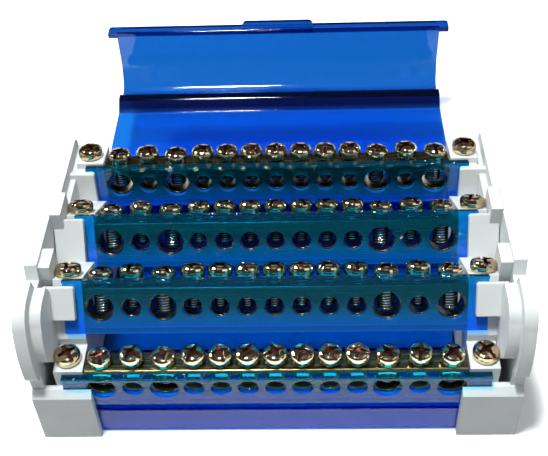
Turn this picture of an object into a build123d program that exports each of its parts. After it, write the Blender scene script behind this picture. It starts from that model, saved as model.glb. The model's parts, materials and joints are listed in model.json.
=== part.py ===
"""Power distribution block for a 35 mm rail: four busbars with thirteen terminals each, under a hinged lid.

The bars sit in steps between two moulded end brackets. Each bar has a transparent shroud in front of it,
with one wire hole for every terminal, and clamping screws in its top. A transparent tray closes the
bottom, and the transparent lid swings back over the rear edge.

Millimetres. X runs along the bars, Y from the front to the back, and Z up. The model is drawn with
Y = 0 at the front face and Z = 0 at the base, and is moved at the end so that the origin lies on the
centre line of the rail.
"""
import os
from math import cos, radians, sin

from build123d import *

# Depth and clearances
body_depth = 86.0            # front face to the rear foot
running_gap = 0.3            # between pieces that only lie side by side
slot_gap = 0.1               # between a plate and the groove that holds it
shank_gap = 0.05             # round a screw in its hole
pivot_gap = 0.08             # round the hinge pins

# Clamping screws
shank_large = 5.0
shank_small = 4.0
head_width = 7.1
head_height = 3.3
head_bevel = 0.7
head_space = 0.65            # between the heads of two small terminals
head_gap_large = 0.7         # daylight between the bar and the head
head_gap_small = 1.5
tip_gap = 0.9                # between the screw's tip and the bottom of the wire hole
recess_length = 4.8
recess_width = 1.0
recess_depth = 1.3

# Wire holes, and the spacing of the terminals that they and the heads ask for
bar_hole_large = 7.6
bar_hole_small = 5.3
shroud_hole_large = bar_hole_large + 0.8
shroud_hole_small = bar_hole_small + 0.7
shroud_web = 1.3             # of plastic between a shroud's holes
shroud_end_web = 1.85        # the same beside the small hole at each end
hole_reach = (shroud_hole_large + shroud_hole_small) / 2
small_pitch = max(head_width + head_space, shroud_hole_small + shroud_web)
step_pitch = hole_reach + shroud_web         # last of the seven small terminals to the inner large one
large_pitch = hole_reach + shroud_end_web    # large to small beyond that
end_margin = 4.45            # from the last terminal to the bar's end

# Busbars
bar_half = 3 * small_pitch + step_pitch + 2 * large_pitch + end_margin
bar_depth = 7.2
bar_height = 11.6
bar_round = 0.5
wire_level = 5.8             # from the bar's top down to the wire holes' axis
tongue_depth = 4.2
tongue_top = 5.6             # from the bar's top down to the tongue that the bracket grips
tongue_height = 4.0

# Screws that hold the bars' tongues in the brackets
pad_head_width = 7.5
pad_head_height = 3.4
pad_shank = 3.0
pad_screw_tip = 9.2          # from the bar's top down to the screw's tip
pad_screw_x = bar_half + 1.15 + pad_head_width / 2
tongue_half = pad_screw_x + pad_shank / 2 + 1.3

# Shrouds
shroud_end = 5.7             # how far a shroud runs past the bar's end
shroud_wall = 1.4
shroud_floor_depth = 6.8     # the floor runs back under the bar
shroud_drop = 13.3           # from the bar's top to the underside of the floor
lip_depth = 0.9
lip_height = 0.7

# Rows from the front to the back. Each row has the place of its bar's top front edge and its backward tilt.
# The shroud has its height above that edge and what it adds to the end. The pad has its screw's distance
# behind the edge, its height above it and its length. The heads of the clamping screws have their lift.
# The bracket's front block has its ends (past the bar, short of the cheek), its top and its bottom.
rows = {
    4: dict(y=3.8, z=26.8, tilt=0.0, shroud=(-0.9, 0.7), pad=(4.4, 0.3, 8.0), lift=-0.4, block=None),
    3: dict(y=21.4, z=42.8, tilt=30.0, shroud=(2.9, 0.0), pad=(3.6, 2.7, 17.0), lift=0.6,
            block=(2.1, 1.0, 1.2, -8.4)),
    2: dict(y=46.0, z=44.5, tilt=30.0, shroud=(2.9, 0.0), pad=(3.6, 2.7, 18.6), lift=0.6,
            block=(2.9, 0.3, 2.0, -12.1)),
    1: dict(y=68.6, z=47.4, tilt=10.0, shroud=(0.9, 0.0), pad=(4.3, 1.5, 12.2), lift=-0.2,
            block=(3.0, 1.3, -0.5, -12.6)),
}

# End brackets
core_inner = bar_half + running_gap          # inner face of the stepped core, beside the bars' ends
core_outer = pad_screw_x + pad_head_width / 2 + 0.05
cheek_gap = 3.3              # from the core to the cheek
cheek_wall = 3.7
cheek_inner = core_outer + cheek_gap
half_width = cheek_inner + cheek_wall
cheek_top = 51.1
pad_wall = 3.4               # thickness of the rear pad where it runs back over the hinge
block_wall = 2.0
front_block_inner = bar_half - 1.5
front_block_top = 21.0
front_bevel = 2.15
tab_inner = core_outer + slot_gap
tab_outer = cheek_inner + 0.2
tab_top = 51.7
plate_inner = cheek_inner - 1.3
rear_wall_outer = cheek_inner + 1.1
rear_wall_top = 46.0
plate_top = 50.3
foot_height = 14.0
pillar_back = 68.4

# Rail recess and its latch
rail_width = 35.0
rail_centre = 45.0
rail_seat = 7.0              # height of the face that the rail's flange lies on
flange_room = 1.3
hook_reach = 1.3
hook_height = 2.2
latch_width = 6.0
latch_height = 3.4
latch_travel = 3.0
latch_grip = 4.0             # the end that stands out behind the foot

# Tray
tray_half = core_inner - running_gap
tray_floor = 9.0
tray_wall = 1.5
tray_back = 85.0
tray_rear_height = 15.0
tray_tongue = 1.8            # how far the floor runs into the brackets

# Lid, given in its closed place
hinge_y = 77.0
hinge_z = 36.2
hinge_setback = 7.0          # from the pins back to the lid's rear wall
lid_half = core_outer - 1.3
lid_slide = -0.9             # the lid's place between the hinge walls, which leave it some play
lid_wall = 1.6
lid_top = 54.4
lid_front = 0.3
lid_valley_y = 15.6
lid_valley = 50.6
lid_rim_half = cheek_inner - 1.2
rim_low = 29.4
rim_height = 1.9
rim_reach = 3.3
tab_half = 14.2
tab_reach = 2.0
pin_radius = 1.5
pin_length = 4.0
lug_radius = 2.0
lug_wall = 1.8


def terminals():
    """Give each terminal's place along the bar and whether it is a large one."""
    places = [(i * small_pitch, False) for i in range(-3, 4)]
    inner = 3 * small_pitch + step_pitch
    for side in (-1, 1):
        places.append((side * inner, True))
        places.append((side * (inner + large_pitch), False))
        places.append((side * (inner + 2 * large_pitch), True))
    return sorted(places)


def place(number):
    """Place a piece drawn from its bar's top front edge, with Y back and Z up, in its tilted row."""
    row = rows[number]
    return Pos(0, row["y"], row["z"]) * Rot(-row["tilt"], 0, 0)


def point(number, back, up):
    """Give the (Y, Z) of a point that is measured from a row's front edge."""
    row = rows[number]
    turn = radians(row["tilt"])
    return (row["y"] + back * cos(turn) + up * sin(turn), row["z"] - back * sin(turn) + up * cos(turn))


def block(x, y, z):
    """Make a box from three (low, high) pairs."""
    size = [high - low for low, high in (x, y, z)]
    middle = [(high + low) / 2 for low, high in (x, y, z)]
    return Pos(*middle) * Box(*size)


def slab(outline, low, high):
    """Extrude a (Y, Z) outline between two X planes."""
    face = make_face(Plane.YZ * Polyline(*outline, close=True))
    return Pos(low, 0, 0) * extrude(face, high - low, dir=(1, 0, 0))


def bore(x, y, z, radius, length):
    """Make a cylinder along Y, centred on a point."""
    return Pos(x, y, z) * Rot(90, 0, 0) * Cylinder(radius, length)


def busbar(number):
    """Make a bar with wire holes through it, tapped screw holes in its top and a thin tongue at each end."""
    middle = bar_depth / 2
    grip = rows[number]["pad"][0]
    bar = block((-bar_half, bar_half), (0, bar_depth), (-bar_height, 0))
    bar = fillet(bar.edges().filter_by(Axis.X), bar_round)
    half_tongue = tongue_depth / 2
    bar += block((-tongue_half, tongue_half), (grip - half_tongue, grip + half_tongue),
                 (-tongue_top - tongue_height, -tongue_top))
    for x, large in terminals():
        wire = bar_hole_large if large else bar_hole_small
        shank = shank_large if large else shank_small
        bar -= bore(x, middle, -wire_level, wire / 2, 2 * bar_depth)
        bar -= Pos(x, middle, -wire_level / 2) * Cylinder(shank / 2 + shank_gap, wire_level)
    for side in (-1, 1):
        hole = Cylinder(pad_shank / 2 + shank_gap, 2 * bar_height)
        bar -= Pos(side * pad_screw_x, grip, -wire_level) * hole
    return bar


def shroud_half(number):
    """Give half the length of a row's shroud."""
    return bar_half + shroud_end + rows[number]["shroud"][1]


def shroud(number):
    """Make the transparent front of a row, with its wire holes, its top lip and the floor under the bar."""
    top = rows[number]["shroud"][0]
    half = shroud_half(number)
    front = -running_gap - shroud_wall
    piece = block((-half, half), (front, -running_gap), (-shroud_drop, top))
    piece += block((-half, half), (front - lip_depth, -running_gap), (top - lip_height, top))
    floor_half = core_inner - running_gap
    piece += block((-floor_half, floor_half), (front, shroud_floor_depth),
                   (-shroud_drop, -bar_height - running_gap))
    for x, large in terminals():
        hole = shroud_hole_large if large else shroud_hole_small
        piece -= bore(x, front, -wire_level, hole / 2, 4 * shroud_wall)
    return piece


def screw(head, height, bevel, shank, length, gap, turn):
    """Make a screw that hangs from its head, with a slotted cross in the top and its axis on Z."""
    body = Pos(0, 0, gap + height / 2) * Cylinder(head / 2, height)
    body = chamfer(body.edges().group_by(Axis.Z)[-1], bevel * 0.6, bevel)
    floor = gap + height - recess_depth / 2
    for angle, stretch in ((turn, 1.25), (turn + 90, 1.0)):
        body -= Pos(0, 0, floor) * Rot(0, 0, angle) * Box(recess_length * stretch, recess_width, recess_depth)
    body += Pos(0, 0, gap - length / 2) * Cylinder(shank / 2, length)
    return body


def clamp_screws(number, large):
    """Make the screws of one size in a row, as separate solids."""
    hole = bar_hole_large if large else bar_hole_small
    shank = shank_large if large else shank_small
    gap = rows[number]["lift"] + (head_gap_large if large else head_gap_small)
    length = gap + wire_level + hole / 2 - tip_gap
    solids = []
    for index, (x, is_large) in enumerate(terminals()):
        if is_large == large:
            turn = (47 * index + 71 * number) % 180
            body = screw(head_width, head_height, head_bevel, shank, length, gap, turn)
            solids.append((Pos(x, bar_depth / 2, 0) * body).solid())
    return Compound(solids)


def pad_screws(side):
    """Make the four screws that clamp the bars' tongues in one bracket."""
    solids = []
    for number, row in rows.items():
        back, top, _ = row["pad"]
        length = top + pad_screw_tip
        body = screw(pad_head_width, pad_head_height, head_bevel, pad_shank, length, 0.0, 31 * number)
        solids.append((place(number) * Pos(side * pad_screw_x, back, top) * body).solid())
    return Compound(solids)


def pad_corner(number, side):
    """Give a top corner of a row's pad: its front one (0) or its rear one (1)."""
    _, top, length = rows[number]["pad"]
    return point(number, (slot_gap - running_gap, length)[side], top)


def core_outline():
    """Give the stepped side of the core that carries the bars, from the front foot round to the rear foot."""
    face = slot_gap - running_gap
    below = -shroud_drop - running_gap
    slot = face - shroud_wall - 3 * slot_gap
    ledge = point(3, face, below - 1.8)
    grip, top, _ = rows[1]["pad"]
    rear = grip + tongue_depth / 2 + 1.0
    under = -tongue_top - tongue_height - 1.0
    return [
        (rows[4]["y"] + face, 0), pad_corner(4, 0), (ledge[0], pad_corner(4, 0)[1]), ledge,
        pad_corner(3, 0), pad_corner(3, 1),
        point(2, slot, below), point(2, face, below), pad_corner(2, 0), pad_corner(2, 1),
        point(1, slot, below), point(1, face, below), pad_corner(1, 0), point(1, rear, top),
        point(1, rear, under), (pillar_back, point(1, rear, under)[1]), (pillar_back, foot_height),
        (body_depth - 1.0, foot_height), (body_depth - 1.0, 0),
    ]


def rear_pad():
    """Make the thin end of the rear row's pad, which runs back over the hinge and has round corners."""
    back, top, length = rows[1]["pad"]
    pad = block((core_inner, core_outer), (back, length), (top - pad_wall, top))
    pad = fillet(pad.edges().filter_by(Axis.Z).group_by(Axis.Y)[-1], 1.6)
    return place(1) * pad


def cheek():
    """Make the outer wall of a bracket, with its rounded front horn, the notch and the straight top."""
    top = cheek_top
    with BuildPart() as wall:
        with BuildSketch(Plane.YZ.offset(cheek_inner)):
            with BuildLine():
                Polyline((body_depth, 0), (0, 0), (0, front_block_top - front_bevel),
                         (block_wall, front_block_top), (2.5, front_block_top), (2.5, 26.8), (0.9, 26.8),
                         (0, 28.4), (0, 30.0))
                ThreePointArc((0, 30.0), (0.4, top - 13.1), (2.2, top - 6.1))
                ThreePointArc((2.2, top - 6.1), (4.9, top - 1.5), (9.6, top + 0.5))
                Polyline((9.6, top + 0.5), (15.7, top + 0.8), (17.2, top - 4.7), (21.2, top - 4.7),
                         (22.6, top), (51.3, top))
                ThreePointArc((51.3, top), (53.5, top - 0.9), (54.5, top - 3.1))
                Polyline((54.5, top - 3.1), (57.0, 26.0), (64.0, 17.0), (74.0, foot_height),
                         (body_depth, foot_height), (body_depth, 0))
            make_face()
        extrude(amount=half_width - cheek_inner)
    return wall.part


def inner_rib():
    """Make the recessed second wall inside the horn, which joins the horn to the core."""
    top = cheek_top
    with BuildPart() as wall:
        with BuildSketch(Plane.YZ.offset(core_outer)):
            with BuildLine():
                ThreePointArc((3.4, 32.0), (3.3, top - 12.1), (5.4, top - 6.7))
                ThreePointArc((5.4, top - 6.7), (7.6, top - 3.7), (11.0, top - 2.5))
                Polyline((11.0, top - 2.5), (16.2, top - 2.3), (18.6, top - 7.1), (19.0, 30.0), (8.0, 26.0),
                         (3.4, 32.0))
            make_face()
        extrude(amount=cheek_inner - core_outer + 0.2)
    return wall.part


def rear_wall():
    """Make the inset rear wall that carries the hinge, with a thin round-cornered plate and a tab on it."""
    with BuildPart() as plate:
        with BuildSketch(Plane.YZ.offset(plate_inner)):
            with BuildLine():
                Polyline((52.5, 40.0), (52.5, plate_top), (77.6, plate_top))
                ThreePointArc((77.6, plate_top), (80.2, 49.4), (81.4, 46.8))
                Polyline((81.4, 46.8), (82.0, 40.0), (52.5, 40.0))
            make_face()
        extrude(amount=rear_wall_outer - plate_inner)
    wall = slab([(42.3, 40.0), (42.3, rear_wall_top), (81.5, rear_wall_top), (82.0, 40.0), (82.0, 30.0),
                 (84.0, foot_height), (body_depth, foot_height), (body_depth, 0), (63.5, 0), (63.5, 30.0)],
                tab_inner, rear_wall_outer)
    tab = block((tab_inner, tab_outer), (42.3, 52.2), (40.5, tab_top))
    return plate.part + wall + tab


def front_block(number):
    """Make a row's front block, which closes the slot that the end of the shroud stands in."""
    inner, outer, top, bottom = rows[number]["block"]
    rear = -running_gap - shroud_wall - 2 * slot_gap
    wall = block((bar_half + inner, cheek_inner - outer), (rear - block_wall, rear), (bottom, top))
    wall = fillet(wall.edges().filter_by(Axis.Y).group_by(Axis.X)[0].sort_by(Axis.Z)[-1], 0.8)
    end = shroud_half(number) + running_gap
    joint = block((end, core_outer), (rear - block_wall, 0), (bottom, min(top, 0)))
    return place(number) * (wall + joint)


def bracket():
    """Make the right end bracket."""
    body = slab(core_outline(), core_inner, core_outer)
    body += cheek()
    body += inner_rib()
    body += rear_wall()
    body += rear_pad()
    for number in (1, 2, 3):
        body += front_block(number)
    joint_y = rows[4]["y"] - running_gap + slot_gap
    face = [(0, 0), (0, front_block_top - front_bevel), (block_wall, front_block_top), (block_wall, 0)]
    body += slab(face, front_block_inner, half_width)
    body += block((shroud_half(4) + running_gap, cheek_inner), (block_wall, joint_y), (0, front_block_top))
    body += block((core_outer - 0.5, cheek_inner + 0.2), (joint_y, body_depth), (0, foot_height))
    body += block((core_outer, cheek_inner + 0.2), (22.6, 30.2), (foot_height, cheek_top - 1.1))
    # Hollows from below, between ribs
    for low, high, roof in ((7.0, 24.0, 13.5), (15.5, 24.0, 24.0), (30.0, 44.0, 27.0), (46.0, 60.0, 29.0),
                            (62.4, 66.4, 30.0), (70.2, 83.2, 12.2)):
        body -= block((core_inner + 2.6, core_outer - 2.0), (low, high), (-1, roof))
    # Grooves for the tray's floor
    body -= block((core_inner - 1, core_inner + tray_tongue + slot_gap), (joint_y, tray_back + slot_gap),
                  (tray_floor - slot_gap, tray_floor + tray_wall + slot_gap))
    body -= rail_recess()
    body -= latch_channel()
    # Pockets for the bars' tongues, and the screw holes through the pads
    reach = tongue_depth / 2 + slot_gap
    for number, row in rows.items():
        back, top, _ = row["pad"]
        pocket = block((core_inner - 1, tongue_half + running_gap), (back - reach, back + reach),
                       (-tongue_top - tongue_height - slot_gap, -tongue_top + slot_gap))
        length = top + tongue_top + 1
        hole = Pos(pad_screw_x, back, top + 0.5 - length / 2) * Cylinder(pad_shank / 2 + shank_gap, length)
        body -= place(number) * (pocket + hole)
    body -= Pos(tab_inner, hinge_y, hinge_z) * Rot(0, 90, 0) * Cylinder(pin_radius + pivot_gap, 20)
    return body


def rail_recess():
    """Cut the recess for the rail, with a fixed hook at the front."""
    front = rail_centre - rail_width / 2 - 0.1
    back = rail_centre + rail_width / 2 + 0.1
    across = (core_inner - 20, half_width + 20)
    flange_low = rail_seat - flange_room
    return (block(across, (front, back), (flange_low, rail_seat))
            + block(across, (front + hook_reach, back), (-1, rail_seat))
            + block(across, (front, back), (-1, flange_low - hook_height)))


def latch_body(play):
    """Make the sliding latch's solid, or the channel that it runs in when it has some play."""
    middle = (core_outer + core_inner) / 2
    half = latch_width / 2 + play
    back = rail_centre + rail_width / 2
    top = rail_seat - flange_room - 0.2
    end = body_depth + (latch_grip if play == 0 else 10)
    body = block((middle - half, middle + half), (back - hook_reach - 0.1, end),
                 (top - latch_height - play, top + play))
    if play == 0:
        nose = body.edges().filter_by(Axis.X).group_by(Axis.Y)[0].sort_by(Axis.Z)[0]
        body = chamfer(nose, 1.2)
        grip = body_depth + latch_grip / 2
        body -= Pos(middle, grip + 0.3, top - latch_height / 2) * Cylinder(1.1, 2 * latch_height)
    return body


def latch_channel():
    """Give the channel, which also opens the foot to the rear."""
    return latch_body(0.15)


def tray():
    """Make the transparent tray: a floor above the rail, with a front and a rear skirt."""
    front = rows[4]["y"] - running_gap - shroud_wall
    floor = block((-tray_half - tray_tongue, tray_half + tray_tongue), (rows[4]["y"], pillar_back),
                  (tray_floor, tray_floor + tray_wall))
    floor += block((-tray_half, tray_half), (front, tray_back), (tray_floor, tray_floor + tray_wall))
    skirt = block((-tray_half, tray_half), (front, front + tray_wall), (0.4, tray_floor + tray_wall))
    rear = block((-tray_half, tray_half), (tray_back - tray_wall, tray_back), (0.4, tray_rear_height))
    ribs = None
    for y in (rail_centre - rail_width / 2 - 3, rail_centre + rail_width / 2 + 3):
        rib = block((-tray_half, tray_half), (y - 0.6, y + 0.6), (2.0, tray_floor))
        ribs = rib if ribs is None else ribs + rib
    return floor + skirt + rear + ribs


def lid():
    """Make the lid in its open place: a bent sheet with a rim, a finger tab and two hinge lugs."""
    half = lid_wall / 2
    back = hinge_y + hinge_setback
    with BuildPart() as sheet:
        with BuildSketch(Plane.YZ.offset(-lid_half)):
            with BuildLine():
                FilletPolyline(
                    (back, hinge_z + 4.0), (back, lid_top - half), (lid_valley_y + 5.2, lid_top - half),
                    (lid_valley_y + 1.2, lid_valley - half), (lid_valley_y - 1.2, lid_valley - half),
                    (lid_valley_y - 5.4, lid_top - half), (lid_front + 4.6, lid_top - half),
                    (lid_front + half, lid_top - 10.2), (lid_front + half, rim_low + 0.4),
                    radius=(2.0, 1.5, 1.0, 1.0, 1.5, 5.5, 6.0))
                offset(amount=half, side=Side.BOTH)
            make_face()
        extrude(amount=2 * lid_half)
    piece = sheet.part
    rim_y = lid_front - rim_reach
    rim = block((-lid_rim_half, lid_rim_half), (rim_y, lid_front + lid_wall), (rim_low, rim_low + rim_height))
    rim = fillet(rim.edges().filter_by(Axis.Z).group_by(Axis.Y)[0], 1.2)
    piece += rim
    tab = make_face(Plane.XY.offset(rim_low - 0.4) * Polyline(
        (-tab_half, lid_front), (-tab_half + 1.3, rim_y - tab_reach), (tab_half - 1.3, rim_y - tab_reach),
        (tab_half, lid_front), close=True))
    tab = extrude(tab, rim_height)
    piece += fillet(tab.edges().filter_by(Axis.Z).group_by(Axis.Y)[0], 1.5)
    arm = [(hinge_y - 0.8, hinge_z + 1.8), (back - half, hinge_z + 5.8), (back + half, hinge_z + 5.8),
           (back + half, hinge_z + 2.7), (hinge_y + 1.6, hinge_z + 1.2)]
    for side in (-1, 1):
        low, high = sorted((side * (lid_half - lug_wall), side * lid_half))
        piece += slab(arm, low, high)
        lug = Rot(0, 90, 0) * Cylinder(lug_radius, lug_wall)
        piece += Pos(side * (lid_half - lug_wall / 2), hinge_y, hinge_z) * lug
        pin = Rot(0, 90, 0) * Cylinder(pin_radius, pin_length + 0.2)
        piece += Pos(side * (lid_half + pin_length / 2 - 0.1), hinge_y, hinge_z) * pin
    return Pos(lid_slide, hinge_y, hinge_z) * Rot(180, 0, 0) * Pos(0, -hinge_y, -hinge_z) * piece


def build():
    """Name every piece, in the drawing's place."""
    right = bracket()
    right_latch = latch_body(0)
    pieces = {
        "end_bracket_right": right,
        "end_bracket_left": mirror(right, about=Plane.YZ),
        "base_tray": tray(),
        "lid": lid(),
        "rail_latch_right": right_latch,
        "rail_latch_left": mirror(right_latch, about=Plane.YZ),
        "bracket_screws_right": pad_screws(1),
        "bracket_screws_left": pad_screws(-1),
    }
    for number in rows:
        pieces[f"busbar_{number}"] = place(number) * busbar(number)
        pieces[f"shroud_{number}"] = place(number) * shroud(number)
        pieces[f"clamp_screws_large_{number}"] = place(number) * clamp_screws(number, True)
        pieces[f"clamp_screws_small_{number}"] = place(number) * clamp_screws(number, False)
    return pieces


def main():
    """Write one file for each piece, with the origin moved to the rail's centre line."""
    os.makedirs("parts", exist_ok=True)
    for name, piece in build().items():
        export_step(Pos(0, -rail_centre, 0) * piece, f"parts/{name}.step")
        print(name)


main()
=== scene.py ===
# %% [markdown]
# # Power distribution block
# This lesson dresses a finished CAD model of a rail-mounted distribution block. The brackets, bars,
# shrouds, tray and lid come from the CAD file, and get their plastic and brass here. The screws are
# modelled again, because their threads and recesses are too fine for the CAD solids.
# Everything is in metres, in the CAD model's own frame: X along the bars, Y to the back and Z up.

import json
from math import cos, pi, radians, sin

import bmesh
import bpy
from mathutils import Matrix, Vector

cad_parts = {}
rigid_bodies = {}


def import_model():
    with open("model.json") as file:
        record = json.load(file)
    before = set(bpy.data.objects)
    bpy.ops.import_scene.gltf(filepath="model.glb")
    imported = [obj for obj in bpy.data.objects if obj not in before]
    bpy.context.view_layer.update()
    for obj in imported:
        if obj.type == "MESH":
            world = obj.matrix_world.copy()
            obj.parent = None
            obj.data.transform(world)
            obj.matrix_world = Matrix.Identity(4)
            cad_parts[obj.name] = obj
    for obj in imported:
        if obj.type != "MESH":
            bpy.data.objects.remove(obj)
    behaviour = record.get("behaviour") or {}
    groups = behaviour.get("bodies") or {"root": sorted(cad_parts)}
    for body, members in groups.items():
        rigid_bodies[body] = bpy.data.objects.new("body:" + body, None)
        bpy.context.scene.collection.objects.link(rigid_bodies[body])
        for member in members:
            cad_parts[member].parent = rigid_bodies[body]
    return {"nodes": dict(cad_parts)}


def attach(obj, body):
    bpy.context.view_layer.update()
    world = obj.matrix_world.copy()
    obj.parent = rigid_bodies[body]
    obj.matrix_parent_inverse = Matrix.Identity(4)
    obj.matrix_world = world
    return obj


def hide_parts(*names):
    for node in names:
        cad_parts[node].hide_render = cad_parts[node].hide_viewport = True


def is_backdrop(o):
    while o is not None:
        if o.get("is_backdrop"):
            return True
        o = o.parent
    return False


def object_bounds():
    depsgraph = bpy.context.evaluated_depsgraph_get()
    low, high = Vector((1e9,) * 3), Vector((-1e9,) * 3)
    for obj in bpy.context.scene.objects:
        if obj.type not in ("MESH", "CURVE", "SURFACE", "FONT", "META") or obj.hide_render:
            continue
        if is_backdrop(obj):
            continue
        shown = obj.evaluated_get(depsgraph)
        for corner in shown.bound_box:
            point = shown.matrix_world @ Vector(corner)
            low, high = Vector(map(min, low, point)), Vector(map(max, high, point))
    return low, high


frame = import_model()
cad_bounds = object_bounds()
nodes = frame["nodes"]
print("nodes:", len(nodes), "bounds:", [[round(v, 4) for v in corner] for corner in cad_bounds])

# %% [markdown]
# ## Camera
# The photograph looks down at the block from the front. A camera can be placed by a target and a
# constraint, or by its angles. Here its place and its three angles were worked out from the photograph,
# so its axes are built straight from them: where it looks, what is right and what is up.

# %% Camera
MM = 0.001
RAIL_CENTRE = 45.0 * MM
PITCH, YAW, ROLL = radians(44.37), radians(-2.83), radians(2.73)
look = Vector((sin(YAW) * cos(PITCH), cos(YAW) * cos(PITCH), -sin(PITCH)))
level = Vector((cos(YAW), -sin(YAW), 0.0))
down = look.cross(level)
right = level * cos(ROLL) + down * sin(ROLL)
up = level * sin(ROLL) - down * cos(ROLL)
camera_data = bpy.data.cameras.new("camera")
camera_data.sensor_width = 36.0
camera_data.lens = 941.0 / 548.0 * 36.0
camera = bpy.data.objects.new("camera", camera_data)
turn = Matrix((right, up, -look)).transposed().to_4x4()
camera.matrix_world = Matrix.Translation(Vector((9.56 * MM, -157.0 * MM - RAIL_CENTRE, 240.4 * MM))) @ turn
bpy.context.scene.collection.objects.link(camera)
bpy.context.scene.camera = camera
print("lens:", round(camera_data.lens, 1), "mm")

# %% [markdown]
# ## Node helpers
# A material is a small network of nodes. Five helpers keep the cells that follow short. They start a
# material, add a noise that is read in Object coordinates, so that it stays put on the piece, turn a grey
# pattern into colours, tilt the surface by a pattern, and join an output to one of the shader's sockets.

# %% Node helpers
def start_material(name, **values):
    """Make a material and set the shader's own sockets."""
    material = bpy.data.materials.new(name)
    material.use_nodes = True
    shader = material.node_tree.nodes["Principled BSDF"]
    for socket, value in values.items():
        shader.inputs[socket.replace("_", " ")].default_value = value
    return material, shader


def add_noise(material, scale, stretch=(1, 1, 1), detail=3.0, roughness=0.5):
    """Add a noise on Object coordinates, with its scale in patterns a metre."""
    tree = material.node_tree
    place = tree.nodes.new("ShaderNodeTexCoord")
    mapping = tree.nodes.new("ShaderNodeMapping")
    mapping.inputs["Scale"].default_value = stretch
    noise = tree.nodes.new("ShaderNodeTexNoise")
    noise.inputs["Scale"].default_value = scale
    noise.inputs["Detail"].default_value = detail
    noise.inputs["Roughness"].default_value = roughness
    tree.links.new(place.outputs["Object"], mapping.inputs["Vector"])
    tree.links.new(mapping.outputs["Vector"], noise.inputs["Vector"])
    return noise.outputs["Fac"]


def add_ramp(material, value, stops):
    """Turn a grey pattern into colours at the given stops."""
    ramp = material.node_tree.nodes.new("ShaderNodeValToRGB")
    elements = ramp.color_ramp.elements
    while len(elements) < len(stops):
        elements.new(0.5)
    for element, (position, colour) in zip(elements, stops):
        element.position = position
        element.color = (*colour, 1.0)
    material.node_tree.links.new(value, ramp.inputs["Fac"])
    return ramp.outputs["Color"]


def add_bump(material, shader, value, strength, distance, rounding=0.0):
    """Tilt the surface by a pattern. With rounding, sharp edges catch light as moulded edges do."""
    tree = material.node_tree
    bump = tree.nodes.new("ShaderNodeBump")
    bump.inputs["Strength"].default_value = strength
    bump.inputs["Distance"].default_value = distance
    tree.links.new(value, bump.inputs["Height"])
    if rounding:
        edge = tree.nodes.new("ShaderNodeBevel")
        edge.samples = 4
        edge.inputs["Radius"].default_value = rounding
        tree.links.new(edge.outputs["Normal"], bump.inputs["Normal"])
    tree.links.new(bump.outputs["Normal"], shader.inputs["Normal"])


def link(material, value, shader, socket):
    """Join an output to one of the shader's sockets."""
    material.node_tree.links.new(value, shader.inputs[socket])


print("helpers ready")

# %% [markdown]
# ## Grey bracket plastic
# The brackets are moulded from a light grey, slightly rough plastic. One flat grey would look like
# paper. A large soft noise gives the faint clouding of a moulding, a fine noise gives the surface its
# grain, and small rounded edges catch the light.

# %% Grey bracket plastic
def make_grey(name, dark, light):
    """Make a moulded plastic between two close greys."""
    material, shader = start_material(name, Roughness=0.5, IOR=1.46)
    cloud = add_noise(material, 45.0, detail=4.0)
    link(material, add_ramp(material, cloud, [(0.3, dark), (0.7, light)]), shader, "Base Color")
    grain = add_noise(material, 2600.0, detail=2.0)
    add_bump(material, shader, grain, 0.12, 0.00012, rounding=0.0004)
    return material


bracket_plastic = make_grey("bracket_plastic", (0.50, 0.53, 0.53), (0.57, 0.60, 0.60))
latch_plastic = make_grey("latch_plastic", (0.20, 0.21, 0.22), (0.26, 0.27, 0.28))
print("made:", bracket_plastic.name, latch_plastic.name)

# %% [markdown]
# ## Transparent blue plastic
# The lid, the shrouds and the tray are moulded in transparent blue plastic. A tint on the surface alone
# would make thin and thick places equally blue. Here the volume absorbs light, so an edge or an overlap
# turns navy by itself, and the surface tone only sets how deep a part looks. Glass-like shaders block
# shadow rays, so what lies behind would turn black. A transparent shader, with a shade of its own, takes
# over for shadow rays only.

# %% Transparent blue plastic
def add_along(material, axis, low, high):
    """Give a value that runs from 0 to 1 between two places on one of the object's own axes."""
    tree = material.node_tree
    place = tree.nodes.new("ShaderNodeTexCoord")
    parts = tree.nodes.new("ShaderNodeSeparateXYZ")
    span = tree.nodes.new("ShaderNodeMapRange")
    span.inputs["From Min"].default_value, span.inputs["From Max"].default_value = low, high
    tree.links.new(place.outputs["Object"], parts.inputs[0])
    tree.links.new(parts.outputs[axis], span.inputs["Value"])
    return span.outputs["Result"]


def make_clear_blue(name, tint, shade):
    """Make a plastic that absorbs light with depth, with faint flow ripples. Its shadow takes the shade."""
    material, shader = start_material(name, Roughness=0.05, IOR=1.45)
    shader.inputs["Transmission Weight"].default_value = 1.0
    tree = material.node_tree
    flow = add_noise(material, 90.0, stretch=(0.25, 1, 1), detail=2.0)
    add_bump(material, shader, flow, 0.05, 0.0006)
    clear = tree.nodes.new("ShaderNodeBsdfTransparent")
    clear.inputs["Color"].default_value = (*shade, 1.0)
    path = tree.nodes.new("ShaderNodeLightPath")
    mix = tree.nodes.new("ShaderNodeMixShader")
    tree.links.new(path.outputs["Is Shadow Ray"], mix.inputs["Fac"])
    tree.links.new(shader.outputs["BSDF"], mix.inputs[1])
    tree.links.new(clear.outputs["BSDF"], mix.inputs[2])
    tree.links.new(mix.outputs["Shader"], tree.nodes["Material Output"].inputs["Surface"])
    depth = tree.nodes.new("ShaderNodeVolumeAbsorption")
    depth.inputs["Color"].default_value = (*tint, 1.0)
    depth.inputs["Density"].default_value = PLASTIC_DENSITY
    tree.links.new(depth.outputs["Volume"], tree.nodes["Material Output"].inputs["Volume"])
    return material, shader


PLASTIC_DENSITY = 2500.0
LID_TINT, BODY_TINT = (0.0, 0.80, 0.945), (0.0, 0.84, 0.97)
DEEP_SHADE, LIGHT_SHADE = (0.60, 0.46, 0.62), (0.9, 0.9, 0.95)
lid_blue, lid_shader = make_clear_blue("lid_blue", LID_TINT, DEEP_SHADE)
print("made:", lid_blue.name)

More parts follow.
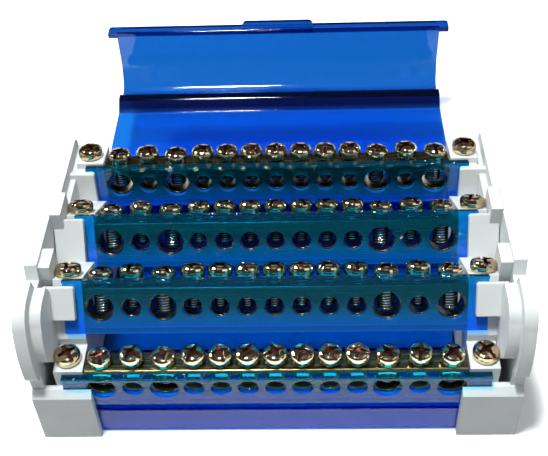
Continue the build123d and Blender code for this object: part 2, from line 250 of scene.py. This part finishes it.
# %% [markdown]
# The lid's broad face, its fold and its front wall each have their own depth of blue. The surface tone
# changes along Y, and the fold's dark tone is painted shade.

# %% Tone along the lid
LID_Y = (0.080, 0.110)
along = add_along(lid_blue, "Y", *LID_Y)
# The fold's tone is painted shade; the face and the wall get tones of their own.
FACE_TONE, FOLD_PAINTED_SHADE, WALL_TONE = (0.70, 0.33, 0.62), (0.15, 0.02, 0.08), (0.32, 0.19, 0.42)
tone = add_ramp(lid_blue, along, [(0.27, FACE_TONE), (0.31, FOLD_PAINTED_SHADE), (0.58, FOLD_PAINTED_SHADE),
                                  (0.63, WALL_TONE)])
link(lid_blue, tone, lid_shader, "Base Color")
print("fold between", [round(LID_Y[0] + part * (LID_Y[1] - LID_Y[0]), 4) for part in (0.3, 0.6)])

# %% [markdown]
# The tray lies under everything else, so its inner part gets a deep painted shade. Only its front skirt,
# which stands in the light, gets a paler painted light, so its tone changes along Y.

# %% Tray tone
TRAY_Y = (-0.043, -0.032)
# The skirt's tone is painted light and the inner tone is painted shade.
SKIRT_PAINTED_LIGHT, INNER_PAINTED_SHADE = (0.20, 0.50, 0.84), (0.30, 0.22, 0.33)
tray_blue, tray_shader = make_clear_blue("tray_blue", BODY_TINT, DEEP_SHADE)
tray_shader.inputs["Specular IOR Level"].default_value = 0.35
inward = add_along(tray_blue, "Y", *TRAY_Y)
tone = add_ramp(tray_blue, inward, [(0.2, SKIRT_PAINTED_LIGHT), (0.8, INNER_PAINTED_SHADE)])
link(tray_blue, tone, tray_shader, "Base Color")
print("made:", tray_blue.name)

# %% [markdown]
# The front of a shroud looks dark at the top, over the bar, and glows blue towards its lower edge, where
# light that is caught in the plastic comes out. That glow is painted light: each row's plastic gets a tone
# along Z with a deep blue painted glow at the lower edge, and lets a little less light straight through
# there, so the painted glow shows.

# %% Shroud tones
SHROUD_Z = {1: (0.0345, 0.0480), 2: (0.0330, 0.0470), 3: (0.0313, 0.0453), 4: (0.0135, 0.0259)}
# The edge tone, with less light straight through at the edge, is a painted glow.
EDGE_PAINTED_GLOW, TOP_TONE = (0.0, 0.30, 0.92), (0.02, 0.70, 0.68)
EDGE_GLOW_CLEAR, TOP_CLEAR = (0.78, 0.78, 0.78), (0.98, 0.98, 0.98)
shroud_blue = {}
for number, span in SHROUD_Z.items():
    blue, shader = make_clear_blue(f"shroud_blue_{number}", BODY_TINT, LIGHT_SHADE)
    height = add_along(blue, "Z", *span)
    link(blue, add_ramp(blue, height, [(0.10, EDGE_PAINTED_GLOW), (0.60, TOP_TONE)]), shader, "Base Color")
    link(blue, add_ramp(blue, height, [(0.05, EDGE_GLOW_CLEAR), (0.60, TOP_CLEAR)]), shader, "Transmission Weight")
    shroud_blue[number] = blue
print("made:", [material.name for material in shroud_blue.values()])

# %% [markdown]
# ## Brass bars
# The busbars are drawn brass, cut and drilled. Drawing leaves fine lines along the bar, so the noise is
# stretched along X. The same lines change the roughness, which breaks the reflections into streaks.
# A drilled hole mirrors its own dark inside. A few bounces of light don't show that, so the brass gets
# painted shade where its surroundings are close, which ambient occlusion measures. The front bar stands in
# the open, and its bores look pale and hazy through the plastic, so they get a painted pale blue haze
# instead.

# %% Brass bars
def make_brass(name, painted_bore_tones, painted_bore_haze=False):
    """Make drawn brass with lines along the bar, with painted shade or a painted pale haze in its bores."""
    material, shader = start_material(name, Metallic=1.0)
    tree = material.node_tree
    lines = add_noise(material, 900.0, stretch=(0.03, 1, 1), detail=4.0)
    tint = [(0.3, (0.13, 0.11, 0.05)), (0.7, (0.26, 0.23, 0.12))]
    # Ambient occlusion finds the bores, which take the painted bore tones.
    hollow = tree.nodes.new("ShaderNodeAmbientOcclusion")
    hollow.samples = 8
    hollow.only_local = True
    hollow.inputs["Distance"].default_value = BORE_REACH
    painted_bore_shade = add_ramp(material, hollow.outputs["AO"], [
        (0.30, painted_bore_tones[0]), (0.50, painted_bore_tones[1]), (0.80, (1.0, 1.0, 1.0))])
    shade = tree.nodes.new("ShaderNodeMix")
    shade.data_type, shade.blend_type = "RGBA", "MULTIPLY"
    shade.inputs["Factor"].default_value = 1.0
    tree.links.new(add_ramp(material, lines, tint), shade.inputs[6])
    tree.links.new(painted_bore_shade, shade.inputs[7])
    link(material, shade.outputs[2], shader, "Base Color")
    rough = [(0.3, (0.18, 0.18, 0.18)), (0.7, (0.32, 0.32, 0.32))]
    link(material, add_ramp(material, lines, rough), shader, "Roughness")
    # Painted haze: the bores lose their metal and show their pale blue painted tone.
    if painted_bore_haze:
        metal = add_ramp(material, hollow.outputs["AO"], [(0.5, (0.0, 0.0, 0.0)), (0.8, (1.0, 1.0, 1.0))])
        link(material, metal, shader, "Metallic")
    add_bump(material, shader, lines, 0.10, 0.0001, rounding=0.0003)
    return material


BORE_REACH = 5.0 * MM
# Dark painted shade in the back bars' bores, a pale blue painted haze in the front bar's.
bar_brass = make_brass("bar_brass", ((0.01, 0.015, 0.03), (0.05, 0.07, 0.12)))
front_brass = make_brass("front_brass", ((0.20, 0.45, 0.70), (0.30, 0.55, 0.75)), painted_bore_haze=True)
print("made:", bar_brass.name, front_brass.name)

# %% [markdown]
# ## Yellow passivated screws
# The steel screws have a yellow passivated zinc coat, which shimmers from gold to pink and green. A ramp
# with those colours follows a small noise. The recess faces get a darker, redder material of their own,
# whose darkness is painted shade. The thread gets painted shade as dark as a wire hole's inside, and its
# crests a painted highlight, so they shine as bright lines in that dark.

# %% Yellow passivated screws
def make_passivated(name, stops, roughness):
    """Make a shimmering metal between several colours, for a coat or for painted shade and highlight."""
    material, shader = start_material(name, Metallic=1.0, Roughness=roughness)
    shimmer = add_noise(material, 320.0, detail=3.0, roughness=0.6)
    link(material, add_ramp(material, shimmer, stops), shader, "Base Color")
    grain = add_noise(material, 2500.0, detail=2.0)
    add_bump(material, shader, grain, 0.12, 0.0001, rounding=0.0002)
    return material


screw_coat = make_passivated("screw_coat", [
    (0.30, (0.42, 0.52, 0.44)), (0.44, (0.78, 0.72, 0.50)), (0.58, (0.80, 0.67, 0.40)),
    (0.70, (0.70, 0.46, 0.38))], 0.08)
# The recess's darkness is painted shade.
recess_coat_and_shade = make_passivated("recess_coat_and_shade", [
    (0.35, (0.10, 0.045, 0.03)), (0.65, (0.34, 0.15, 0.10))], 0.25)
pad_coat = make_passivated("pad_coat", [
    (0.30, (0.40, 0.38, 0.24)), (0.50, (0.70, 0.56, 0.34)), (0.70, (0.62, 0.40, 0.28))], 0.12)
# The thread's colours are painted shade, and the crests' colours are a painted highlight.
thread_painted_shade = make_passivated("thread_painted_shade", [(0.35, (0.02, 0.03, 0.05)), (0.65, (0.06, 0.08, 0.11))], 0.30)
crest_painted_highlight = make_passivated("crest_painted_highlight", [(0.35, (0.55, 0.66, 0.66)), (0.65, (0.85, 0.88, 0.80))], 0.22)
print("made:", screw_coat.name, recess_coat_and_shade.name, pad_coat.name, thread_painted_shade.name, crest_painted_highlight.name)

# %% [markdown]
# ## Dress the CAD nodes
# A node that comes from the CAD file keeps its mesh. Only its material slots are filled, from the name
# of the piece.

# %% Dress the CAD nodes
FINISH = {"end_bracket": bracket_plastic, "rail_latch": latch_plastic, "busbar": bar_brass,
          "busbar_4": front_brass, "base_tray": tray_blue, "lid": lid_blue}
FINISH.update({f"shroud_{number}": material for number, material in shroud_blue.items()})


def dress(node, material):
    """Give every face of a CAD node one material."""
    node.data.materials.clear()
    node.data.materials.append(material)


for name, node in nodes.items():
    for start, material in FINISH.items():
        if name.startswith(start):
            dress(node, material)
            print(name, "->", material.name)

# %% [markdown]
# ## Screw body
# A screw head is round, so its outline is drawn once as a short line of points and spun about the
# axis. Spinning gives an even ring of faces with no seams. The shank under it is spun in the same turn.

# %% Screw body
def spun_body(outline, steps):
    """Spin an outline of (radius, height) points in millimetres about Z, and close it at both ends."""
    bm = bmesh.new()
    points = [bm.verts.new((radius * MM, 0.0, height * MM)) for radius, height in outline]
    edges = [bm.edges.new(pair) for pair in zip(points, points[1:])]
    bmesh.ops.spin(bm, geom=points + edges, cent=(0, 0, 0), axis=(0, 0, 1), angle=2 * pi,
                   steps=steps, use_merge=True)
    bmesh.ops.remove_doubles(bm, verts=bm.verts, dist=1e-6)
    bmesh.ops.recalc_face_normals(bm, faces=bm.faces)
    return bm


THREAD_DEPTH = 0.42
CLAMP_HEAD = (3.55, 3.75)
PAD_HEAD = (3.75, 3.6)


def screw_outline(head, gap, shank, tip):
    """Give the outline of a screw: a domed head, the neck under it and a plain core with a cone tip."""
    radius, height = head
    top = gap + height
    core = shank - THREAD_DEPTH
    dome = [(0.0, top - 0.02), (radius - 1.7, top - 0.08), (radius - 1.0, top - 0.20),
            (radius - 0.55, top - 0.42), (radius - 0.22, top - 0.80), (radius - 0.05, top - 1.30)]
    side = [(radius, top - 1.9), (radius - 0.12, gap + 0.5), (radius - 0.5, gap + 0.1), (radius - 0.9, gap)]
    neck = [(shank + 0.05, gap), (shank, gap - 0.15), (core, gap - 0.5)]
    return dome + side + neck + [(core, tip + 0.6), (core - 0.7, tip), (0.0, tip)]


test = spun_body(screw_outline(CLAMP_HEAD, 0.7, 2.5, -8.7), 24)
print("faces of one body:", len(test.faces))
test.free()

# %% [markdown]
# ## Thread
# The wire holes show the threads of the clamping screws. A thread could be a stack of rings, but a real
# one climbs. The spin operator takes a shift for each step, so a small tooth profile that is spun
# through many turns climbs by one pitch a turn and makes a true helix.

# %% Thread
def add_thread(bm, root, crest, pitch, top, bottom, steps=14):
    """Wind a tooth profile round the core from the bottom to the top."""
    turns = (top - bottom) / pitch - 1.0
    count = int(turns * steps)
    profile = [(root - 0.1, 0.06), (crest, 0.34), (crest, 0.62), (root - 0.1, 0.92)]
    points = [bm.verts.new((r * MM, 0.0, (bottom + h * pitch) * MM)) for r, h in profile]
    edges = [bm.edges.new(pair) for pair in zip(points, points[1:])]
    before = set(bm.faces)
    bmesh.ops.spin(bm, geom=points + edges, cent=(0, 0, 0), axis=(0, 0, 1),
                   dvec=(0, 0, pitch * MM / steps), angle=2 * pi * count / steps, steps=count)
    tooth = [face for face in bm.faces if face not in before]
    bmesh.ops.recalc_face_normals(bm, faces=tooth)
    outward = sum(face.normal.dot(Vector((face.calc_center_median().x, face.calc_center_median().y, 0)))
                  for face in tooth)
    if outward < 0:
        bmesh.ops.reverse_faces(bm, faces=tooth)
    return tooth


test = bmesh.new()
print("faces of one thread:", len(add_thread(test, 2.08, 2.48, 0.8, -0.2, -8.0)))
test.free()

# %% [markdown]
# ## Recess
# The screws take a slotted or a cross driver: a wide slot and a shorter groove cross each other over a
# deeper middle. A recess could be pulled into the head's faces by hand, but a Boolean with a few
# simple boxes is exact, and leaves the head closed. The cut faces take the recess finish.

# %% Recess
RECESS_DEPTH = 2.0


def cutter_mesh(top, depth):
    """Make the slot, the cross groove and the deeper middle as one cutter."""
    bm = bmesh.new()
    for angle, length, width, low in ((0, 7.8, 1.1, 1.1), (90, 5.2, 1.1, 1.4), (90, 2.8, 1.6, depth),
                                      (0, 2.8, 1.6, depth)):
        size = Matrix.Diagonal((length * MM, width * MM, 2 * low * MM, 1.0))
        spin = Matrix.Rotation(radians(angle), 4, "Z")
        shift = Matrix.Translation((0, 0, top * MM))
        bmesh.ops.create_cube(bm, size=1.0, matrix=shift @ spin @ size)
    mesh = bpy.data.meshes.new("cutter")
    bm.to_mesh(mesh)
    bm.free()
    return mesh


def cut_recess(body, top, depth, coats_and_paint):
    """Cut the recess into a screw body, and return the result as a mesh."""
    mesh = bpy.data.meshes.new("body")
    body.to_mesh(mesh)
    body.free()
    mesh.materials.append(coats_and_paint[0])
    head = bpy.data.objects.new("head", mesh)
    cutter = bpy.data.objects.new("cutter", cutter_mesh(top, depth))
    cutter.data.materials.append(coats_and_paint[1])
    for thing in (head, cutter):
        bpy.context.scene.collection.objects.link(thing)
    cut = head.modifiers.new("recess", "BOOLEAN")
    cut.object, cut.operation, cut.solver = cutter, "DIFFERENCE", "EXACT"
    cut.use_self, cut.material_mode = True, "TRANSFER"
    view = bpy.context.evaluated_depsgraph_get()
    result = bpy.data.meshes.new_from_object(head.evaluated_get(view))
    for thing in (head, cutter):
        bpy.data.objects.remove(thing)
    return result


test = cutter_mesh(0.0, RECESS_DEPTH)
print("faces of the cutter:", len(test.polygons))
bpy.data.meshes.remove(test)

# %% [markdown]
# ## Whole screw
# A screw is its cut body and its thread in one mesh. Face places tell which material a face takes: painted
# shade below the head and a painted highlight on the crests. The clamping screws come in two sizes, each
# given by
# the gap under its head, its shank's radius, its thread's pitch and the height of its tip. Each row's
# screws are turned out by that row's own lift, as the photograph shows them.

# %% Whole screw
BODY_STEPS = 28


def make_screw(head, gap, shank, pitch, tip, coats_and_paint):
    """Make one finished screw with its axis on Z and its seat at height 0."""
    body = spun_body(screw_outline(head, gap, shank, tip), BODY_STEPS)
    mesh = cut_recess(body, gap + head[1], RECESS_DEPTH, coats_and_paint[:2])
    for painted_layer in coats_and_paint[2:]:
        mesh.materials.append(painted_layer)
    bm = bmesh.new()
    bm.from_mesh(mesh)
    tooth = add_thread(bm, shank - THREAD_DEPTH, shank - 0.02, pitch, gap - 0.3, tip + 0.5)
    # Faces below the head take the painted shade, and the thread's crests the painted highlight.
    for face in bm.faces:
        if face.calc_center_median().z < (gap - 0.3) * MM:
            face.material_index = 2
    for face in tooth:
        if face.calc_center_median().xy.length > (shank - 0.1) * MM:
            face.material_index = 3
    bm.to_mesh(mesh)
    bm.free()
    print("screw with", len(mesh.polygons), "faces,", len(mesh.materials), "finishes")
    return mesh


CLAMP_COATS_AND_PAINT = (screw_coat, recess_coat_and_shade, thread_painted_shade, crest_painted_highlight)
LIFTS = {4: -0.4, 3: 0.6, 2: 0.6, 1: -0.49}
LARGE, SMALL = (0.5, 2.5, 0.8, -8.7), (1.3, 2.0, 0.7, -7.55)


def make_row_screws(gap, shank, pitch, tip):
    """Make one clamping screw for each row, turned out by that row's lift."""
    return {number: make_screw(CLAMP_HEAD, gap + lift, shank, pitch, tip, CLAMP_COATS_AND_PAINT)
            for number, lift in LIFTS.items()}


large_screws, small_screws = make_row_screws(*LARGE), make_row_screws(*SMALL)

# %% [markdown]
# ## Rows
# Each bar stands in its own row: a place for its top front edge and a backward tilt. A screw is put in
# its row by one matrix. The turn of each recess is different, as a screwdriver leaves them.

# %% Rows
ROWS = {4: (3.8, 26.8, 0.0), 3: (21.4, 42.8, 30.0), 2: (46.0, 44.5, 30.0), 1: (68.6, 47.4, 10.0)}
BAR_DEPTH = 7.2
SMALL_PITCH, STEP_PITCH, LARGE_PITCH = 7.75, 8.5, 9.05
INNER = 3 * SMALL_PITCH + STEP_PITCH
small_places = sorted([i * SMALL_PITCH for i in range(-3, 4)]
                      + [s * (INNER + LARGE_PITCH) for s in (-1, 1)])
large_places = sorted([s * (INNER + step * LARGE_PITCH) for s in (-1, 1) for step in (0, 2)])
all_places = sorted(small_places + large_places)


def row_matrix(number):
    """Give the matrix from a row's own frame to the model's frame."""
    y, z, tilt = ROWS[number]
    return Matrix.Translation((0, y * MM - RAIL_CENTRE, z * MM)) @ Matrix.Rotation(radians(-tilt), 4, "X")


def screw_group(name, placed, replaced, body="frame"):
    """Copy screws to their matrices as one piece that stands for a CAD node."""
    bm = bmesh.new()
    for template, matrix in placed:
        before = len(bm.verts)
        bm.from_mesh(template)
        bm.verts.ensure_lookup_table()
        bmesh.ops.transform(bm, matrix=matrix, verts=bm.verts[before:])
    mesh = bpy.data.meshes.new(name)
    bm.to_mesh(mesh)
    bm.free()
    for material in template.materials:
        mesh.materials.append(material)
    piece = bpy.data.objects.new(name, mesh)
    bpy.context.scene.collection.objects.link(piece)
    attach(piece, body)
    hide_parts(replaced)
    print(name, "faces:", len(mesh.polygons))
    return piece


def screw_place(number, x, angle, back=BAR_DEPTH / 2, seat=0.0):
    """Give one screw's matrix in a row."""
    shift = Matrix.Translation((x * MM, back * MM, seat * MM))
    return row_matrix(number) @ shift @ Matrix.Rotation(radians(angle), 4, "Z")


for number in ROWS:
    for size, templates, row_places in (("large", large_screws, large_places),
                                        ("small", small_screws, small_places)):
        placed = [(templates[number], screw_place(number, x, (47 * all_places.index(x) + 71 * number) % 180))
                  for x in row_places]
        piece = screw_group(f"{size}_screws_{number}", placed, f"clamp_screws_{size}_{number}")

# %% [markdown]
# Each bracket has a pad beside each bar, and a screw with a slightly wider head on it. The pads sit a
# little above the bars, so each row gives the pad screw's place from the bar's edge and its seat's height.

# %% Screws on the pads
PAD_SCREW_X = 59.2
PADS = {4: (4.4, 0.3), 3: (3.6, 2.7), 2: (3.6, 2.7), 1: (4.3, 1.5)}
PAD_TIP = 9.2
PAD_COATS_AND_PAINT = (pad_coat, recess_coat_and_shade, thread_painted_shade, crest_painted_highlight)
pad_screws = {top: make_screw(PAD_HEAD, 0.0, 1.5, 0.7, -PAD_TIP - top, PAD_COATS_AND_PAINT)
              for top in sorted({top for back, top in PADS.values()})}
for side, word in ((-1, "left"), (1, "right")):
    placed = [(pad_screws[top], screw_place(number, side * PAD_SCREW_X, 31 * number, back, top))
              for number, (back, top) in PADS.items()]
    piece = screw_group(f"pad_screws_{word}", placed, f"bracket_screws_{word}")

# %% [markdown]
# ## Floor
# A pale floor and a pale surround stand for the studio. A white floor would throw as much light up at the
# block as the lamps throw down, so what it gives back to the block is greyer than what is seen of it. The
# camera, mirrors and clear plastic all see the pale floor. Far from the block it turns to plain white for
# them, so no horizon shows.

# %% Floor
PALE = [(0.3, (0.93, 0.93, 0.93)), (0.7, (0.95, 0.95, 0.95))]
FADE_START, FADE_END = 0.25, 0.60


def add_seen(tree, kinds):
    """Give 1 for rays of the named kinds and 0 for all others."""
    path = tree.nodes.new("ShaderNodeLightPath")
    value = path.outputs[kinds[0]]
    for kind in kinds[1:]:
        either = tree.nodes.new("ShaderNodeMath")
        either.operation = "MAXIMUM"
        tree.links.new(value, either.inputs[0])
        tree.links.new(path.outputs[kind], either.inputs[1])
        value = either.outputs[0]
    return value


def add_mix(tree, factor, first, second):
    """Mix two shaders."""
    mix = tree.nodes.new("ShaderNodeMixShader")
    for start, end in ((factor, mix.inputs["Fac"]), (first, mix.inputs[1]), (second, mix.inputs[2])):
        tree.links.new(start, end)
    return mix.outputs["Shader"]


floor_material, floor_shader = start_material("floor", Roughness=0.9)
paper = add_noise(floor_material, 6.0)
link(floor_material, add_ramp(floor_material, paper, PALE), floor_shader, "Base Color")
tree = floor_material.node_tree
bounce, far = tree.nodes.new("ShaderNodeBsdfDiffuse"), tree.nodes.new("ShaderNodeEmission")
bounce.inputs["Color"].default_value = (0.26, 0.26, 0.26, 1.0)
place, reach = tree.nodes.new("ShaderNodeTexCoord"), tree.nodes.new("ShaderNodeVectorMath")
reach.operation = "LENGTH"
fade = tree.nodes.new("ShaderNodeMapRange")
fade.inputs["From Min"].default_value, fade.inputs["From Max"].default_value = FADE_START, FADE_END
tree.links.new(place.outputs["Object"], reach.inputs[0])
tree.links.new(reach.outputs["Value"], fade.inputs["Value"])
ground = add_mix(tree, fade.outputs["Result"], floor_shader.outputs["BSDF"], far.outputs["Emission"])
direct = add_seen(tree, ("Is Camera Ray", "Is Transmission Ray", "Is Glossy Ray"))
surface = add_mix(tree, direct, bounce.outputs["BSDF"], ground)
tree.links.new(surface, tree.nodes["Material Output"].inputs["Surface"])
bm = bmesh.new()
bmesh.ops.create_grid(bm, x_segments=1, y_segments=1, size=3.0)
floor_mesh = bpy.data.meshes.new("floor")
bm.to_mesh(floor_mesh)
bm.free()
floor_mesh.materials.append(floor_material)
floor = bpy.data.objects.new("floor", floor_mesh)
floor.location.z = -0.2 * MM
bpy.context.scene.collection.objects.link(floor)
floor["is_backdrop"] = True
print("floor faces:", len(floor_mesh.polygons))

# %% [markdown]
# ## Surround
# A bare white surround makes polished metal look like clay, because there is nothing dark to mirror.
# Here the camera, and what it sees through the plastic, gets plain white. Reflections get a surround
# that is just as white near the horizon and dark above, worked out from each ray's direction.

# %% Surround
SKY_COLOUR, SKY_STRENGTH = (0.95, 0.97, 1.0, 1.0), 0.38
BANDS = ((0.00, 1.00), (0.06, 1.00), (0.13, 0.25), (0.24, 0.03), (0.85, 0.03), (1.00, 0.15))
world = bpy.data.worlds.new("studio")
world.use_nodes = True
bpy.context.scene.world = world
tree = world.node_tree
sky = tree.nodes["Background"]
sky.inputs["Color"].default_value = SKY_COLOUR
sky.inputs["Strength"].default_value = SKY_STRENGTH
direction, height = tree.nodes.new("ShaderNodeTexCoord"), tree.nodes.new("ShaderNodeSeparateXYZ")
bands = tree.nodes.new("ShaderNodeValToRGB")
while len(bands.color_ramp.elements) < len(BANDS):
    bands.color_ramp.elements.new(0.5)
for element, (position, grey) in zip(bands.color_ramp.elements, BANDS):
    element.position, element.color = position, (grey, grey, grey, 1.0)
mirrored, seen = tree.nodes.new("ShaderNodeBackground"), tree.nodes.new("ShaderNodeBackground")
seen.inputs["Color"].default_value = (1.0, 1.0, 1.0, 1.0)
tree.links.new(direction.outputs["Generated"], height.inputs[0])
tree.links.new(height.outputs["Z"], bands.inputs["Fac"])
tree.links.new(bands.outputs["Color"], mirrored.inputs["Color"])
glossy = add_seen(tree, ("Is Glossy Ray",))
plain = add_seen(tree, ("Is Camera Ray", "Is Transmission Ray"))
unseen = add_mix(tree, glossy, sky.outputs["Background"], mirrored.outputs["Background"])
final = add_mix(tree, plain, unseen, seen.outputs["Background"])
tree.links.new(final, tree.nodes["World Output"].inputs["Surface"])
print("surround:", world.name, "with", len(BANDS), "bands")

# %% [markdown]
# ## Lamps
# Three square lamps light the block: a key from the left and behind, a small one overhead and a wide
# weak one from the front right. A lamp could be a sun, but the soft edges of the photograph's shadows
# need lamps with a size. Their level is such that a colour renders about as it is written.

# %% Lamps
LAMP_TARGET = (0, 0, 20.0 * MM)


def add_lamp(name, place, size, power):
    """Add a square lamp that looks at the block."""
    data = bpy.data.lights.new(name, "AREA")
    data.size, data.energy = size, power
    lamp = bpy.data.objects.new(name, data)
    lamp.location = place
    aim = Vector(LAMP_TARGET) - Vector(place)
    lamp.rotation_euler = aim.to_track_quat("-Z", "Y").to_euler()
    bpy.context.scene.collection.objects.link(lamp)
    return lamp


add_lamp("key", (-0.58, 0.27, 0.62), 0.18, 3.6)
add_lamp("top", (-0.09, -0.08, 0.81), 0.10, 8.6)
add_lamp("fill", (0.55, -0.25, 0.55), 0.5, 0.8)
bpy.context.scene.view_settings.view_transform = "Standard"

# %% [markdown]
# ## Size
# The visual model should stay inside the CAD model's box, so both boxes are gathered side by side.

# %% Both boxes side by side
plain = [[[float(v) for v in corner] for corner in box] for box in (cad_bounds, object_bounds())]
